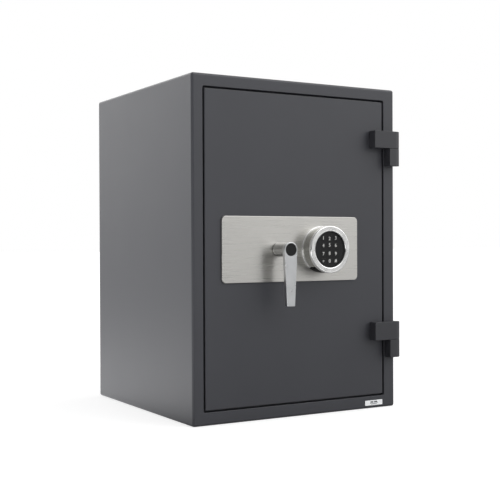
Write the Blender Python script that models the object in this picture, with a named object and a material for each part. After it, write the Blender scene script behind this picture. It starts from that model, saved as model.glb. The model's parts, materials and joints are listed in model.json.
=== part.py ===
"""Free-standing fire and burglary safe with a round keypad, a lever handle and block hinges.

Metres, +Z up. The origin is the centre of the footprint on the floor, and the door faces -Y.
The object is at rest with its door closed and its bolts drawn back, as it is just before it is opened.
"""

import math

import bmesh
import bpy
from mathutils import Matrix, Vector

# Driving dimensions.
BODY_WIDTH = 0.430
BODY_DEPTH = 0.420
BODY_HEIGHT = 0.600
BODY_EDGE = 0.0045  # radius of the bent edges of the shell
SHELL = 0.003  # sheet of the outer shell
GAP = 0.0003  # play between two pieces that touch
EPS = 0.01  # how far a cutter runs past the piece it cuts

# The door plate lies flush in the front of the body.
DOOR_LEFT = -0.19085
DOOR_RIGHT = 0.18665
DOOR_BOTTOM = 0.02615
DOOR_TOP = 0.57485
DOOR_PLATE = 0.010
DOOR_SLIT = 0.0035  # visible gap round the door plate

# The plug is the insulated part of the door behind the plate.
PLUG_HALF_WIDTH = 0.163
PLUG_BOTTOM = 0.045
PLUG_TOP = 0.555
PAN_SHEET = 0.002
PARTITION_FRONT = -0.177  # the plate that carries the boltwork
PAN_BACK = -0.1317
COVER_SHEET = 0.0025

# The frame steps in behind the door plate, and the bolts lock behind that step.
REBATE_DEPTH = 0.0115
LIP_BACK = -0.174
LIP_LEFT = -0.1755
LIP_RIGHT = 0.1715
LIP_BOTTOM = 0.036
LIP_TOP = 0.564
POCKET_LEFT = -0.192
POCKET_RIGHT = 0.190
POCKET_BOTTOM = 0.024
POCKET_TOP = 0.576
JAMB_WALL = 0.0055

# Inner box.
LINER_HALF_WIDTH = 0.160
LINER_BOTTOM = 0.055
LINER_TOP = 0.545
LINER_FRONT = -0.124
LINER_BACK = 0.155
LINER_SHEET = 0.0015

# Hinges.
HINGE_X = 0.210
HINGE_Y = -0.219
HINGE_HALF_DEPTH = 0.0087
NOSE_START = 0.205  # where the end of a hinge half begins to curve back
NOSE_END = 0.2187
HINGE_PIN = 0.0045
HINGE_BORE = 0.0046
LEAF_LEFT = 0.1573
BLOCK_LEFT = 0.192
HINGES = {"upper": (0.4550, 0.4875, 0.5195), "lower": (0.0950, 0.1285, 0.1620)}
HINGE_SPLIT = 0.0005  # gap between the fixed half and the door half

# Lock fittings on the door.
PLATE_LEFT = -0.1598
PLATE_RIGHT = 0.1262
PLATE_BOTTOM = 0.2420
PLATE_TOP = 0.3581
PLATE_CORNER = 0.008
PLATE_SHEET = 0.003
SPINDLE_X = -0.046
SPINDLE_Z = 0.2994
SPINDLE = 0.006
SPINDLE_BORE = 0.0065
HANDLE_FRONT = -0.255
LEVER_THICK = 0.008
CAP = 0.0110
BOSS = 0.013
LEVER_TIP_Z = 0.2008
LEVER_TIP_HALF = 0.008
KEYPAD_X = 0.0445
KEYPAD_Z = 0.299
KEYPAD_FRONT = -0.2445
RING_OUTER = 0.04225
RING_INNER = 0.0325
RING_DEPTH = 0.007
DIAL_RECESS = 0.0035  # how far the dial lies behind the ring's face
HOUSING = 0.0405
FLANGE = 0.042
DRAWER_CUT_Z = 0.2655  # flat underside of the keypad, where the battery drawer comes out
KEY_PITCH_X = 0.0134
KEY_PITCH_Z = 0.0137
KEY_HALF = 0.005
KEY_CORNER = 0.0022
KEY_TRAVEL = 0.0012
KEY_NAMES = (("1", "2", "3"), ("4", "5", "6"), ("7", "8", "9"), ("star", "0", "hash"))
CABLE_BORE = 0.007

# Boltwork. A quarter turn of the spindle throws the bolts by BOLT_THROW.
BOLT_THROW = 0.022
BOLT = 0.011
BOLT_Y = -0.160
BOLT_HEIGHTS = {"lower": 0.120, "middle": 0.300, "upper": 0.480}
CARRIER_LEFT = -0.137
CARRIER_RIGHT = -0.117
CARRIER_FRONT = -0.167
CARRIER_BACK = -0.155
ARM_RIGHT = -0.022
ARM_BACK = -0.161
ARM_BOTTOM = 0.2724
CRANK = BOLT_THROW / math.sqrt(2)
CRANK_PIN = 0.003
SLOT_WIDTH = 0.0078
DOG = 0.010
DOG_TIP_X = 0.1755
DOG_HEIGHTS = {"lower": 0.210, "upper": 0.390}
LOCK_THROW = 0.009
LOCK_BOLT_LEFT = -0.043
LOCK_BOLT_RIGHT = -0.029
LOCK_BOLT_TIP = 0.2988

# Interior fittings.
SHELF_TOP = 0.3018
SHELF_SHEET = 0.0015
RAIL = 0.015
ANCHORS = {"left": -0.090, "right": 0.090}
ANCHOR_Y = 0.020
ANCHOR_BORE = 0.007

HALF_WIDTH = BODY_WIDTH / 2
FRONT = -BODY_DEPTH / 2
BACK = BODY_DEPTH / 2
PLATE_BACK = FRONT - GAP
PLATE_FRONT = PLATE_BACK - PLATE_SHEET
FITTING_BACK = PLATE_FRONT - GAP

PAINT = ("body_paint", (0.085, 0.088, 0.095), 0.45, 0.2)
INNER_PAINT = ("inner_paint", (0.32, 0.33, 0.34), 0.5, 0.1)
STEEL = ("bright_steel", (0.62, 0.62, 0.60), 0.25, 1.0)
PLAIN_STEEL = ("plain_steel", (0.42, 0.42, 0.42), 0.4, 0.9)
BRUSHED = ("brushed_plate", (0.60, 0.59, 0.56), 0.35, 1.0)
BLACK = ("black_plastic", (0.02, 0.02, 0.022), 0.4, 0.0)
FILL = ("fire_board", (0.70, 0.68, 0.63), 0.9, 0.0)
RUBBER = ("seal_rubber", (0.03, 0.03, 0.03), 0.7, 0.0)
LABEL = ("label_paper", (0.85, 0.85, 0.83), 0.6, 0.0)
BRASS = ("lock_brass", (0.65, 0.50, 0.22), 0.35, 1.0)
BOARD = ("circuit_board", (0.03, 0.16, 0.08), 0.5, 0.0)


def clear_scene():
    for obj in list(bpy.data.objects):
        bpy.data.objects.remove(obj, do_unlink=True)


def material(finish):
    name, colour, roughness, metallic = finish
    found = bpy.data.materials.get(name)
    if found:
        return found
    made = bpy.data.materials.new(name)
    made.use_nodes = True
    surface = made.node_tree.nodes["Principled BSDF"]
    surface.inputs["Base Color"].default_value = (*colour, 1.0)
    surface.inputs["Roughness"].default_value = roughness
    surface.inputs["Metallic"].default_value = metallic
    return made


def axis_empty(name, position, parent=None):
    """An empty on a joint's axis, which carries the pieces that move about it."""
    empty = bpy.data.objects.new(name, None)
    bpy.context.collection.objects.link(empty)
    empty.empty_display_size = 0.02
    attach(empty, Vector(position), parent)
    return empty


def world_place(obj):
    place = obj.location.copy()
    while obj.parent:
        obj = obj.parent
        place += obj.location
    return place


def attach(obj, position, parent):
    """Puts the object's origin at a world position, under a parent."""
    obj.parent = parent
    obj.location = position - (world_place(parent) if parent else Vector())


def finish_object(name, bm, finish, parent=None):
    """Makes an object of a mesh in world coordinates, with its origin on its parent's."""
    bmesh.ops.recalc_face_normals(bm, faces=bm.faces)
    origin = world_place(parent) if parent else Vector()
    bmesh.ops.translate(bm, vec=-origin, verts=bm.verts)
    mesh = bpy.data.meshes.new(name)
    bm.to_mesh(mesh)
    bm.free()
    mesh.shade_smooth()
    mesh.set_sharp_from_angle(angle=math.radians(35))
    obj = bpy.data.objects.new(name, mesh)
    bpy.context.collection.objects.link(obj)
    attach(obj, origin, parent)
    if finish:
        mesh.materials.append(material(finish))
    return obj


def box_mesh(low, high, radius=0.0, segments=3):
    """A box between two corners, with all its edges rounded to a radius."""
    bm = bmesh.new()
    size = Vector(high) - Vector(low)
    centre = (Vector(high) + Vector(low)) / 2
    bmesh.ops.create_cube(bm, size=1.0, matrix=Matrix.Translation(centre) @ Matrix.Diagonal((*size, 1)))
    if radius:
        round_edges(bm, bm.edges[:], radius, segments)
    return bm


def round_edges(bm, edges, radius, segments):
    bmesh.ops.bevel(
        bm, geom=edges, offset=radius, segments=segments, profile=0.5, affect="EDGES", clamp_overlap=True
    )


def box(name, low, high, finish=None, parent=None, radius=0.0, segments=3):
    return finish_object(name, box_mesh(low, high, radius, segments), finish, parent)


def extrude_outline(points, axis, low, high):
    """A prism: an outline of (u, v) points carried along an axis.

    Along X the outline is (y, z), along Y it is (x, z) and along Z it is (x, y).
    """
    place = {
        "x": lambda u, v, w: (w, u, v),
        "y": lambda u, v, w: (u, w, v),
        "z": lambda u, v, w: (u, v, w),
    }[axis]
    bm = bmesh.new()
    face = bm.faces.new([bm.verts.new(place(u, v, low)) for u, v in points])
    grown = bmesh.ops.extrude_face_region(bm, geom=[face])
    moved = [item for item in grown["geom"] if isinstance(item, bmesh.types.BMVert)]
    bmesh.ops.translate(bm, vec=Vector(place(0, 0, high - low)), verts=moved)
    bmesh.ops.recalc_face_normals(bm, faces=bm.faces)
    return bm


def arc(centre, radius, start, end, steps):
    """Points on an arc, angles in degrees."""
    points = []
    for step in range(steps + 1):
        angle = math.radians(start + (end - start) * step / steps)
        points.append((centre[0] + radius * math.cos(angle), centre[1] + radius * math.sin(angle)))
    return points


def rounded_rectangle(left, right, bottom, top, radius, steps=5):
    points = []
    points += arc((right - radius, top - radius), radius, 0, 90, steps)
    points += arc((left + radius, top - radius), radius, 90, 180, steps)
    points += arc((left + radius, bottom + radius), radius, 180, 270, steps)
    points += arc((right - radius, bottom + radius), radius, 270, 360, steps)
    return points


def edges_on_plane(bm, axis, value):
    """The edges that lie in a plane, such as the rim of a flat face."""
    index = "xyz".index(axis)
    return [e for e in bm.edges if all(abs(v.co[index] - value) < 1e-6 for v in e.verts)]


def turned_mesh(profile, centre, axis, steps):
    """A solid turned about an axis from a closed profile of (radius, distance along the axis).

    A profile that starts and ends at radius zero has no bore.
    """
    turn = {
        "x": lambda r, a, w: (w, centre[1] + r * math.cos(a), centre[2] + r * math.sin(a)),
        "y": lambda r, a, w: (centre[0] + r * math.cos(a), w, centre[2] + r * math.sin(a)),
        "z": lambda r, a, w: (centre[0] + r * math.cos(a), centre[1] + r * math.sin(a), w),
    }[axis]
    bm = bmesh.new()
    rings = []
    for radius, along in profile:
        if radius == 0:
            rings.append([bm.verts.new(turn(0, 0, along))])
        else:
            rings.append([bm.verts.new(turn(radius, math.tau * i / steps, along)) for i in range(steps)])
    solid = profile[0][0] == 0
    pairs = list(zip(rings, rings[1:]))
    if not solid:
        pairs.append((rings[-1], rings[0]))
    for first, second in pairs:
        for i in range(steps):
            j = (i + 1) % steps
            corners = [first[i % len(first)], first[j % len(first)]]
            corners += [second[j % len(second)], second[i % len(second)]]
            bm.faces.new(list(dict.fromkeys(corners)))
    bmesh.ops.recalc_face_normals(bm, faces=bm.faces)
    return bm


def rod_mesh(centre, axis, radius, low, high, steps=32, chamfer=0.0):
    """A round bar along an axis, with an optional chamfer at both ends."""
    profile = [(0, low), (radius - chamfer, low), (radius, low + chamfer)]
    profile += [(radius, high - chamfer), (radius - chamfer, high), (0, high)]
    if not chamfer:
        profile = [(0, low), (radius, low), (radius, high), (0, high)]
    return turned_mesh(profile, centre, axis, steps)


def rod(name, centre, axis, radius, low, high, finish=None, parent=None, steps=32, chamfer=0.0):
    return finish_object(name, rod_mesh(centre, axis, radius, low, high, steps, chamfer), finish, parent)


def join_shape(target, name, bm, operation):
    """A Boolean with a hidden helper, which moves with the piece that it shapes."""
    helper = finish_object(name, bm, None, target.parent)
    helper.hide_render = True
    helper.display_type = "WIRE"
    modifier = target.modifiers.new(name, "BOOLEAN")
    modifier.operation = operation
    modifier.solver = "EXACT"
    modifier.object = helper


def cut(target, name, bm):
    join_shape(target, "cutter_" + name, bm, "DIFFERENCE")


def add(target, name, bm):
    join_shape(target, "addition_" + name, bm, "UNION")


def spindle_bore(target, name, low, high):
    cut(target, name, rod_mesh((SPINDLE_X, 0, SPINDLE_Z), "y", SPINDLE_BORE, low, high, 24))


def cable_bore(target, name, low, high):
    cut(target, name, rod_mesh((KEYPAD_X, 0, KEYPAD_Z), "y", CABLE_BORE, low, high, 24))


def anchor_bores(target, name, low, high):
    for side, x in ANCHORS.items():
        cut(target, f"{name}_{side}", rod_mesh((x, ANCHOR_Y, 0), "z", ANCHOR_BORE, low, high, 24))


def build_outer_shell():
    shell = box(
        "outer_shell",
        (-HALF_WIDTH, FRONT, 0),
        (HALF_WIDTH, BACK, BODY_HEIGHT),
        PAINT,
        radius=BODY_EDGE,
        segments=4,
    )
    inside = box_mesh(
        (-HALF_WIDTH + SHELL, FRONT + SHELL, SHELL), (HALF_WIDTH - SHELL, BACK - SHELL, BODY_HEIGHT - SHELL)
    )
    cut(shell, "shell_inside", inside)
    doorway = box_mesh(
        (DOOR_LEFT - DOOR_SLIT, FRONT - EPS, DOOR_BOTTOM - DOOR_SLIT),
        (DOOR_RIGHT + DOOR_SLIT, FRONT + EPS, DOOR_TOP + DOOR_SLIT),
    )
    cut(shell, "shell_doorway", doorway)
    anchor_bores(shell, "shell_anchor", -EPS, EPS)


def build_front_frame():
    """The welded ring behind the front of the shell, stepped for the door plate, the plug and the bolts."""
    wall = SHELL + GAP
    back = LINER_FRONT - GAP
    frame = box(
        "front_frame",
        (-HALF_WIDTH + wall, FRONT + wall, wall),
        (HALF_WIDTH - wall, FRONT + wall + SHELL, BODY_HEIGHT - wall),
        PAINT,
    )
    jamb = box_mesh(
        (POCKET_LEFT - JAMB_WALL, FRONT + wall + SHELL / 2, POCKET_BOTTOM - JAMB_WALL),
        (POCKET_RIGHT + JAMB_WALL, back, POCKET_TOP + JAMB_WALL),
    )
    add(frame, "frame_jamb", jamb)
    rebate = box_mesh(
        (DOOR_LEFT - DOOR_SLIT, FRONT - EPS, DOOR_BOTTOM - DOOR_SLIT),
        (DOOR_RIGHT + DOOR_SLIT, FRONT + REBATE_DEPTH, DOOR_TOP + DOOR_SLIT),
    )
    cut(frame, "frame_rebate", rebate)
    cut(frame, "frame_lip", box_mesh((LIP_LEFT, FRONT - EPS, LIP_BOTTOM), (LIP_RIGHT, back + EPS, LIP_TOP)))
    pocket = box_mesh((POCKET_LEFT, LIP_BACK, POCKET_BOTTOM), (POCKET_RIGHT, back + EPS, POCKET_TOP))
    cut(frame, "frame_bolt_pocket", pocket)


def build_liner():
    rim = SHELL + 2 * GAP
    liner = box(
        "inner_liner",
        (-HALF_WIDTH + rim, LINER_FRONT, rim),
        (HALF_WIDTH - rim, LINER_FRONT + LINER_SHEET, BODY_HEIGHT - rim),
        INNER_PAINT,
    )
    tub = box_mesh(
        (-LINER_HALF_WIDTH, LINER_FRONT + LINER_SHEET / 2, LINER_BOTTOM),
        (LINER_HALF_WIDTH, LINER_BACK, LINER_TOP),
    )
    add(liner, "liner_tub", tub)
    hollow = box_mesh(
        (-LINER_HALF_WIDTH + LINER_SHEET, LINER_FRONT - EPS, LINER_BOTTOM + LINER_SHEET),
        (LINER_HALF_WIDTH - LINER_SHEET, LINER_BACK - LINER_SHEET, LINER_TOP - LINER_SHEET),
    )
    cut(liner, "liner_hollow", hollow)
    anchor_bores(liner, "liner_anchor", LINER_BOTTOM - EPS, LINER_BOTTOM + EPS)


def build_fire_boards():
    """Five insulating boards fill the walls between the shell and the inner box."""
    wall = SHELL + GAP
    front = LINER_FRONT + LINER_SHEET + GAP
    back = BACK - wall
    side = LINER_HALF_WIDTH + GAP
    for name, sign in (("left", -1), ("right", 1)):
        edges = sorted((sign * side, sign * (HALF_WIDTH - wall)))
        box(f"fire_board_{name}", (edges[0], front, wall), (edges[1], back, BODY_HEIGHT - wall), FILL)
    width = LINER_HALF_WIDTH
    box("fire_board_top", (-width, front, LINER_TOP + GAP), (width, back, BODY_HEIGHT - wall), FILL)
    bottom = box("fire_board_bottom", (-width, front, wall), (width, back, LINER_BOTTOM - GAP), FILL)
    anchor_bores(bottom, "board_anchor", -EPS, LINER_BOTTOM + EPS)
    box("fire_board_rear", (-width, LINER_BACK + GAP, LINER_BOTTOM), (width, back, LINER_TOP), FILL)


def hinge_outline(left):
    """A hinge half seen from above: a straight block with an oval nose that clears the body as it turns."""
    points = [(left, HINGE_Y + HINGE_HALF_DEPTH), (left, HINGE_Y - HINGE_HALF_DEPTH)]
    steps = 16
    for step in range(steps + 1):
        angle = math.pi * (step / steps - 0.5)
        reach = (NOSE_END - NOSE_START) * math.cos(angle)
        points.append((NOSE_START + reach, HINGE_Y + HINGE_HALF_DEPTH * math.sin(angle)))
    return points


def hinge_half(name, left, bottom, top, parent):
    bm = extrude_outline(hinge_outline(left), "z", bottom, top)
    rims = edges_on_plane(bm, "z", bottom) + edges_on_plane(bm, "z", top)
    round_edges(bm, rims, 0.0008, 2)
    half = finish_object(name, bm, PAINT, parent)
    bore = rod_mesh((HINGE_X, HINGE_Y, 0), "z", HINGE_BORE, bottom - EPS, top + EPS, 24)
    cut(half, name + "_bore", bore)


def build_hinges(door):
    for name, (bottom, middle, top) in HINGES.items():
        hinge_half(f"hinge_block_{name}", BLOCK_LEFT, bottom, middle - HINGE_SPLIT, None)
        hinge_half(f"hinge_leaf_{name}", LEAF_LEFT, middle, top, door)
        rod(
            f"hinge_pin_{name}",
            (HINGE_X, HINGE_Y, 0),
            "z",
            HINGE_PIN,
            bottom + 0.0004,
            top - 0.0004,
            PLAIN_STEEL,
            steps=24,
            chamfer=0.0006,
        )


def build_interior():
    """The shelf, the rails that it rests on and the plugs in the two floor anchor holes."""
    inner = LINER_HALF_WIDTH - LINER_SHEET - GAP
    rail_top = SHELF_TOP - SHELF_SHEET - GAP
    for name, sign in (("left", -1), ("right", 1)):
        outline = [
            (sign * inner, rail_top),
            (sign * (inner - RAIL), rail_top),
            (sign * (inner - RAIL), rail_top - SHELF_SHEET),
            (sign * (inner - SHELF_SHEET), rail_top - SHELF_SHEET),
            (sign * (inner - SHELF_SHEET), rail_top - RAIL),
            (sign * inner, rail_top - RAIL),
        ]
        finish_object(f"shelf_rail_{name}", extrude_outline(outline, "y", -0.090, 0.140), INNER_PAINT)

    shelf_axis = axis_empty("shelf_slide_axis", (0, 0, SHELF_TOP))
    front, back, lip = -0.095, 0.150, 0.015
    outline = [
        (front, SHELF_TOP),
        (back, SHELF_TOP),
        (back, SHELF_TOP - SHELF_SHEET),
        (front + SHELF_SHEET, SHELF_TOP - SHELF_SHEET),
        (front + SHELF_SHEET, SHELF_TOP - lip),
        (front, SHELF_TOP - lip),
    ]
    half = LINER_HALF_WIDTH - 0.003
    finish_object("shelf", extrude_outline(outline, "x", -half, half), INNER_PAINT, shelf_axis)

    floor = LINER_BOTTOM + LINER_SHEET
    for name, x in ANCHORS.items():
        profile = [(0, floor - 0.020), (0.0064, floor - 0.020), (0.0067, floor - 0.018)]
        profile += [(0.0067, floor + GAP), (0.011, floor + GAP), (0.011, floor + 0.0015)]
        profile += [(0.009, floor + 0.0023), (0, floor + 0.0023)]
        finish_object(f"anchor_plug_{name}", turned_mesh(profile, (x, ANCHOR_Y, 0), "z", 24), BLACK)


def build_label():
    label = extrude_outline(
        rounded_rectangle(0.1455, 0.1858, 0.0055, 0.0150, 0.001, 2), "y", FRONT - 2 * GAP, FRONT - GAP
    )
    finish_object("rating_label", label, LABEL)


def build_door_panel(door):
    plate = box(
        "door_front_plate",
        (DOOR_LEFT, FRONT, DOOR_BOTTOM),
        (DOOR_RIGHT, FRONT + DOOR_PLATE, DOOR_TOP),
        PAINT,
        door,
        radius=0.0012,
        segments=2,
    )
    spindle_bore(plate, "plate_spindle", FRONT - EPS, FRONT + DOOR_PLATE + EPS)
    cable_bore(plate, "plate_cable", FRONT - EPS, FRONT + DOOR_PLATE + EPS)

    pan_front = FRONT + DOOR_PLATE + GAP
    pan = box(
        "door_pan",
        (-PLUG_HALF_WIDTH, pan_front, PLUG_BOTTOM),
        (PLUG_HALF_WIDTH, PAN_BACK, PLUG_TOP),
        PAINT,
        door,
    )
    inside = PLUG_HALF_WIDTH - PAN_SHEET
    low, high = PLUG_BOTTOM + PAN_SHEET, PLUG_TOP - PAN_SHEET
    cut(pan, "pan_front", box_mesh((-inside, pan_front - EPS, low), (inside, PARTITION_FRONT, high)))
    partition_back = PARTITION_FRONT + PAN_SHEET
    cut(pan, "pan_back", box_mesh((-inside, partition_back, low), (inside, PAN_BACK + EPS, high)))
    spindle_bore(pan, "pan_spindle", PARTITION_FRONT - EPS, partition_back + EPS)
    cable_bore(pan, "pan_cable", PARTITION_FRONT - EPS, partition_back + EPS)
    for name, z in BOLT_HEIGHTS.items():
        wall = (-PLUG_HALF_WIDTH - EPS, -inside + EPS)
        cut(pan, f"pan_bolt_{name}", rod_mesh((0, BOLT_Y, z), "x", BOLT + GAP, *wall, 32))

    hard = (-0.095, 0.085, 0.240, 0.360)
    hard_back = pan_front + 0.004
    hard_plate = box(
        "hard_plate", (hard[0], pan_front, hard[2]), (hard[1], hard_back, hard[3]), PLAIN_STEEL, door
    )
    spindle_bore(hard_plate, "hard_spindle", pan_front - EPS, hard_back + EPS)
    cable_bore(hard_plate, "hard_cable", pan_front - EPS, hard_back + EPS)

    fill = box(
        "door_fill",
        (-inside + GAP, pan_front, low + GAP),
        (inside - GAP, PARTITION_FRONT - GAP, high - GAP),
        FILL,
        door,
    )
    recess = box_mesh(
        (hard[0] - GAP, pan_front - EPS, hard[2] - GAP), (hard[1] + GAP, hard_back + GAP, hard[3] + GAP)
    )
    cut(fill, "fill_recess", recess)
    spindle_bore(fill, "fill_spindle", pan_front - EPS, PARTITION_FRONT + EPS)
    cable_bore(fill, "fill_cable", pan_front - EPS, PARTITION_FRONT + EPS)

    cover_front = PAN_BACK + GAP
    half = PLUG_HALF_WIDTH - 0.0005
    box(
        "door_inner_cover",
        (-half, cover_front, PLUG_BOTTOM + 0.0005),
        (half, cover_front + COVER_SHEET, PLUG_TOP - 0.0005),
        INNER_PAINT,
        door,
        radius=0.0008,
        segments=2,
    )
    seal = box("door_seal", (-0.172, pan_front, 0.0395), (0.168, pan_front + 0.004, 0.5605), RUBBER, door)
    around = PLUG_HALF_WIDTH + GAP
    hole = box_mesh((-around, pan_front - EPS, PLUG_BOTTOM - GAP), (around, pan_front + EPS, PLUG_TOP + GAP))
    cut(seal, "seal_hole", hole)


def build_fixed_dogs(door):
    """Two fixed bars on the hinge side hold the door if its hinges are cut off."""
    root = PLUG_HALF_WIDTH + GAP
    for name, z in DOG_HEIGHTS.items():
        profile = [(0, root), (DOG, root), (DOG, DOG_TIP_X - 0.002), (DOG - 0.002, DOG_TIP_X), (0, DOG_TIP_X)]
        finish_object(f"fixed_dog_{name}", turned_mesh(profile, (0, BOLT_Y, z), "x", 32), STEEL, door)


def build_escutcheon(door):
    bm = extrude_outline(
        rounded_rectangle(PLATE_LEFT, PLATE_RIGHT, PLATE_BOTTOM, PLATE_TOP, PLATE_CORNER, 6),
        "y",
        PLATE_FRONT,
        PLATE_BACK,
    )
    round_edges(bm, edges_on_plane(bm, "y", PLATE_FRONT), 0.0008, 2)
    plate = finish_object("escutcheon_plate", bm, BRUSHED, door)
    spindle_bore(plate, "escutcheon_spindle", PLATE_FRONT - EPS, PLATE_BACK + EPS)
    cable_bore(plate, "escutcheon_cable", PLATE_FRONT - EPS, PLATE_BACK + EPS)


def lever_outline():
    """The lever seen from the front: a round head that runs into a straight taper."""
    axis = (SPINDLE_X, SPINDLE_Z)
    drop = SPINDLE_Z - LEVER_TIP_Z
    lean = math.degrees(math.asin((BOSS - LEVER_TIP_HALF) / drop))
    head = arc(axis, BOSS, -lean, 180 + lean, 20)
    tip = 0.0012
    left = arc((SPINDLE_X - LEVER_TIP_HALF + tip, LEVER_TIP_Z + tip), tip, 180, 270, 3)
    right = arc((SPINDLE_X + LEVER_TIP_HALF - tip, LEVER_TIP_Z + tip), tip, 270, 360, 3)
    return head + left + right


def build_handle(handle):
    lever_back = HANDLE_FRONT + LEVER_THICK
    bm = extrude_outline(lever_outline(), "y", HANDLE_FRONT, lever_back)
    round_edges(bm, edges_on_plane(bm, "y", HANDLE_FRONT), 0.0008, 2)
    lever = finish_object("lever_handle", bm, STEEL, handle)
    axis = (SPINDLE_X, 0, SPINDLE_Z)
    cap_back = HANDLE_FRONT + 0.0020
    seat = rod_mesh(axis, "y", CAP + GAP, HANDLE_FRONT - EPS, cap_back + GAP, 32)
    cut(lever, "lever_cap_seat", seat)
    foot = 0.0012
    socket = (SPINDLE + GAP, -0.235)
    profile = [
        (0, socket[1]),
        socket,
        (socket[0], FITTING_BACK),
        (BOSS - 0.0012, FITTING_BACK),
        (BOSS - 0.0012, FITTING_BACK - foot),
        (BOSS - 0.0004, FITTING_BACK - foot),
        (BOSS - 0.0004, lever_back - 0.002),
        (0, lever_back - 0.002),
    ]
    add(lever, "lever_barrel", turned_mesh(profile, axis, "y", 48))

    cap_front = HANDLE_FRONT - 0.0002
    cap = [(0, cap_front), (CAP - 0.0006, cap_front)]
    cap += [(CAP, cap_front + 0.0006), (CAP, cap_back), (0, cap_back)]
    finish_object("handle_cap", turned_mesh(cap, axis, "y", 32), BLACK, handle)

    partition_back = PARTITION_FRONT + PAN_SHEET
    rod("handle_spindle", axis, "y", SPINDLE, -0.2347, partition_back, PLAIN_STEEL, handle, 24, 0.0005)

    cam_front = partition_back + GAP
    cam = rod("cam_disc", axis, "y", 0.022, cam_front, cam_front + 0.005, PLAIN_STEEL, handle, 40)
    reach = CRANK / math.sqrt(2)
    pin_axis = (SPINDLE_X + reach, 0, SPINDLE_Z - reach)
    add(cam, "crank_pin", rod_mesh(pin_axis, "y", CRANK_PIN, cam_front + 0.002, ARM_BACK + 0.003, 20))


def build_boltwork(slide):
    """The carrier bar, its crank arm and the three bolts that it throws."""
    bottom, top = BOLT_HEIGHTS["lower"] - 0.020, BOLT_HEIGHTS["upper"] + 0.020
    carrier = box(
        "bolt_carrier",
        (CARRIER_LEFT, CARRIER_FRONT, bottom),
        (CARRIER_RIGHT, CARRIER_BACK, top),
        PLAIN_STEEL,
        slide,
    )
    # The sloped end of the arm stays under the lock bolt as both move.
    slope = LOCK_THROW / BOLT_THROW
    run = ARM_RIGHT - LOCK_BOLT_LEFT
    arm_top = LOCK_BOLT_TIP - 0.001
    arm = [
        (CARRIER_LEFT + 0.004, ARM_BOTTOM),
        (ARM_RIGHT, ARM_BOTTOM),
        (ARM_RIGHT, arm_top - slope * run),
        (LOCK_BOLT_LEFT, arm_top),
        (CARRIER_LEFT + 0.004, arm_top),
    ]
    add(carrier, "crank_arm", extrude_outline(arm, "y", CARRIER_FRONT, ARM_BACK))
    reach = CRANK / math.sqrt(2)
    slot_x = SPINDLE_X + reach
    slot = rounded_rectangle(
        slot_x - SLOT_WIDTH / 2,
        slot_x + SLOT_WIDTH / 2,
        SPINDLE_Z - CRANK - CRANK_PIN - 0.002,
        SPINDLE_Z - reach + CRANK_PIN + 0.002,
        SLOT_WIDTH / 2 - 0.0001,
        5,
    )
    cut(carrier, "crank_slot", extrude_outline(slot, "y", CARRIER_FRONT - EPS, ARM_BACK + EPS))
    for name, z in BOLT_HEIGHTS.items():
        tip = -PLUG_HALF_WIDTH
        tail = CARRIER_LEFT - GAP
        profile = [(0, tip), (BOLT - 0.0012, tip), (BOLT, tip + 0.0012), (BOLT, tail), (0, tail)]
        finish_object(f"bolt_{name}", turned_mesh(profile, (0, BOLT_Y, z), "x", 32), STEEL, slide)


def build_bolt_guides(door):
    """A grooved block at each end of the carrier bar."""
    face = PARTITION_FRONT + PAN_SHEET + GAP
    depth = 0.008
    for name, end, sign in (
        ("upper", BOLT_HEIGHTS["upper"] + 0.020, 1),
        ("lower", BOLT_HEIGHTS["lower"] - 0.020, -1),
    ):
        heights = sorted((end - sign * (depth - 0.0005), end + sign * 0.015))
        guide = box(
            f"bolt_guide_{name}",
            (-0.1605, face, heights[0]),
            (-0.1120, -0.150, heights[1]),
            PLAIN_STEEL,
            door,
        )
        groove = sorted((end - sign * EPS, end + sign * 0.0005))
        bm = box_mesh((-0.170, CARRIER_FRONT - GAP, groove[0]), (-0.100, CARRIER_BACK + GAP, groove[1]))
        cut(guide, f"guide_groove_{name}", bm)


def build_lock(door, lock_slide):
    face = PARTITION_FRONT + PAN_SHEET + GAP
    case = box("lock_case", (-0.068, face, 0.322), (-0.004, -0.146, 0.407), BRASS, door, 0.0015, 2)
    channel = box_mesh(
        (LOCK_BOLT_LEFT - GAP, CARRIER_FRONT - GAP, 0.322 - EPS),
        (LOCK_BOLT_RIGHT + GAP, ARM_BACK + GAP, 0.350),
    )
    cut(case, "lock_channel", channel)
    box(
        "lock_bolt",
        (LOCK_BOLT_LEFT, CARRIER_FRONT, LOCK_BOLT_TIP),
        (LOCK_BOLT_RIGHT, ARM_BACK, 0.349),
        BRASS,
        lock_slide,
    )


def build_lock_cable(door):
    """The wire from the keypad through the door to the side of the lock."""
    curve = bpy.data.curves.new("lock_cable", "CURVE")
    curve.dimensions = "3D"
    curve.bevel_depth = 0.002
    curve.bevel_resolution = 2
    curve.use_fill_caps = True
    curve.resolution_u = 6
    line = curve.splines.new("BEZIER")
    knots = (
        ((KEYPAD_X, -0.2145, KEYPAD_Z), (0, 0.012, 0)),
        ((KEYPAD_X, -0.172, KEYPAD_Z + 0.001), (0, 0.008, 0.003)),
        ((KEYPAD_X - 0.012, -0.160, KEYPAD_Z + 0.032), (-0.008, 0, 0.014)),
        ((-0.0015, -0.160, 0.360), (-0.012, 0, 0)),
    )
    line.bezier_points.add(len(knots) - 1)
    for point, (place, reach) in zip(line.bezier_points, knots):
        point.co = Vector(place) - world_place(door)
        point.handle_left = point.co - Vector(reach)
        point.handle_right = point.co + Vector(reach)
    cable = bpy.data.objects.new("lock_cable", curve)
    bpy.context.collection.objects.link(cable)
    attach(cable, world_place(door), door)
    curve.materials.append(material(RUBBER))


def key_places():
    """(name, x, z) of each key, in three columns and four rows."""
    for row, names in enumerate(KEY_NAMES):
        for column, name in enumerate(names):
            yield name, KEYPAD_X + (column - 1) * KEY_PITCH_X, KEYPAD_Z + (1.5 - row) * KEY_PITCH_Z


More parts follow.
